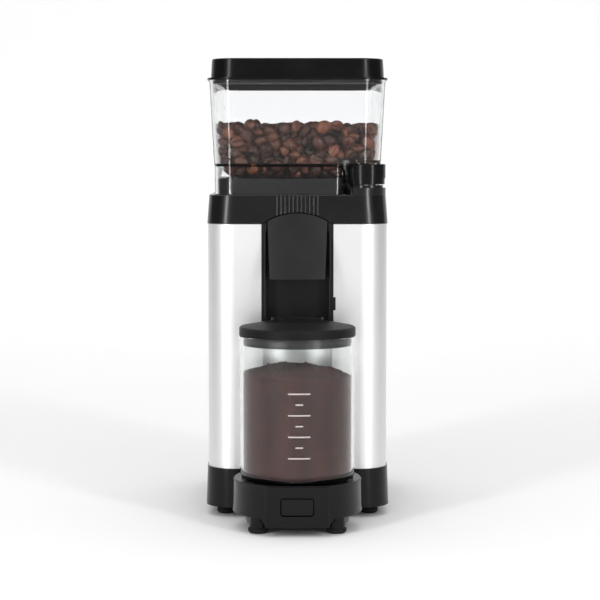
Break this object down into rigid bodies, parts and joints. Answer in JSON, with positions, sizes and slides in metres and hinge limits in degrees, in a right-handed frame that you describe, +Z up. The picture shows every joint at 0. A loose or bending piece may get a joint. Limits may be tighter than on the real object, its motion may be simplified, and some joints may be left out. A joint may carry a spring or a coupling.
{
  "type": "burr coffee grinder",
  "caption": "Upright burr coffee grinder with a lidded clear bean hopper, side-mounted grind knob, metal body and a lidded glass jar for the ground coffee.",
  "frame": {"origin": "under the centre of the outline, on the surface the feet stand on", "axes": "+Z up, +X to the right seen from the front, the front with the jar faces -Y"},
  "size_m": [0.1368, 0.2448, 0.3396],
  "materials": {
    "body_black": "satin moulded, dark charcoal",
    "chute_black": "fine satin texture",
    "lid_black": "satin, very dark grey",
    "knob_black": "semi gloss",
    "shell_metal": "polished sheet",
    "hopper_clear": "clear moulded plastic",
    "jar_glass": "clear glass",
    "bean_brown": "dark roasted, slightly oily beans",
    "grounds_brown": "coarse dry powder",
    "foot_rubber": "moulded rubber",
    "seal_rubber": "soft silicone seal",
    "burr_steel": "ground hardened steel",
    "bright_steel": "turned or plated steel",
    "motor_steel": "grey zinc plate",
    "core_iron": "stacked iron laminations",
    "copper_bar": "machined copper segments",
    "inner_plastic": "natural engineering plastic",
    "board_green": "circuit board"
  },
  "bodies": {
    "body": {"base_housing": "body_black", "platform_housing": "body_black", "base_plate": "body_black", "platform_plate": "body_black", "platform_feet": "foot_rubber", "body_feet": "foot_rubber", "base_screws": "bright_steel", "switch_sleeve": "knob_black", "start_switch": "inner_plastic", "cord_grommet": "seal_rubber", "outer_shell": "shell_metal", "front_strip": "shell_metal", "chute_panel": "chute_black", "chute_hood": "chute_black", "top_housing": "body_black", "burr_chamber": "chute_black", "mount_plate": "motor_steel", "motor_can": "motor_steel", "upper_end_bell": "motor_steel", "lower_end_bell": "motor_steel", "upper_bearing": "bright_steel", "lower_bearing": "bright_steel", "stator_core": "core_iron", "brush_holders": "inner_plastic", "motor_screws": "bright_steel", "lower_posts": "bright_steel", "upper_posts": "bright_steel", "control_board": "board_green", "board_brackets": "inner_plastic", "jar_switch": "inner_plastic"},
    "hopper": {"bean_hopper": "hopper_clear", "coffee_beans": "bean_brown"},
    "lid": {"hopper_lid": "lid_black", "lid_seal": "seal_rubber"},
    "knob": {"grind_knob": "knob_black", "knob_shaft": "bright_steel", "adjust_pinion": "inner_plastic"},
    "ring": {"adjust_ring": "inner_plastic"},
    "burr_lift": {"upper_burr_carrier": "inner_plastic", "upper_burr": "burr_steel", "upper_burr_screws": "bright_steel"},
    "rotor": {"motor_shaft": "bright_steel", "rotor_core": "core_iron", "commutator": "copper_bar", "cooling_fan": "chute_black", "lower_burr_carrier": "burr_steel", "lower_burr": "burr_steel", "lower_burr_screws": "bright_steel", "burr_nut": "bright_steel"},
    "button": {"start_button": "knob_black"},
    "plunger": {"jar_plunger": "inner_plastic"},
    "jar": {"glass_jar": "jar_glass", "ground_coffee": "grounds_brown"},
    "jar_cap": {"jar_lid": "lid_black", "jar_lid_seal": "seal_rubber"}
  },
  "joints": [
    {"name": "hopper_lift", "type": "slide", "parent": "body", "child": "hopper", "axis": [0, 0, 1], "range_m": [0, 0.09]},
    {"name": "lid_lift", "type": "slide", "parent": "hopper", "child": "lid", "axis": [0, 0, 1], "range_m": [0, 0.06]},
    {"name": "ring_turn", "type": "hinge", "parent": "body", "child": "ring", "pos_m": [0, 0.0161, 0.23], "axis": [0, 0, 1], "range_deg": [0, 60]},
    {"name": "knob_turn", "type": "hinge", "parent": "body", "child": "knob", "pos_m": [0.0512, -0.02865, 0.25], "axis": [0, 0, 1], "range_deg": [-281, 0.5]},
    {"name": "burr_gap", "type": "slide", "parent": "body", "child": "burr_lift", "axis": [0, 0, 1], "range_m": [0, 0.000505]},
    {"name": "rotor_spin", "type": "hinge", "parent": "body", "child": "rotor", "pos_m": [0, 0.0161, 0.14], "axis": [0, 0, 1], "continuous": true},
    {"name": "start_button_press", "type": "slide", "parent": "body", "child": "button", "axis": [0, 1, 0], "range_m": [0, 0.0025], "stiffness_N_per_m": 300, "springref_m": -0.002},
    {"name": "jar_pull", "type": "slide", "parent": "body", "child": "jar", "axis": [0, -0.8944, 0.4472], "range_m": [0, 0.11]},
    {"name": "jar_plunger_slide", "type": "slide", "parent": "body", "child": "plunger", "axis": [0, -1, 0], "range_m": [0, 0.003]},
    {"name": "jar_lid_lift", "type": "slide", "parent": "jar", "child": "jar_cap", "axis": [0, 0, 1], "range_m": [0, 0.018]}
  ],
  "couplings": [
    {"joint": "knob_turn", "follows": "ring_turn", "ratio": -4.6667},
    {"joint": "burr_gap", "follows": "ring_turn", "m_per_rad": 0.00047746},
    {"joint": "jar_plunger_slide", "follows": "jar_pull", "ratio": 0.025}
  ]
}
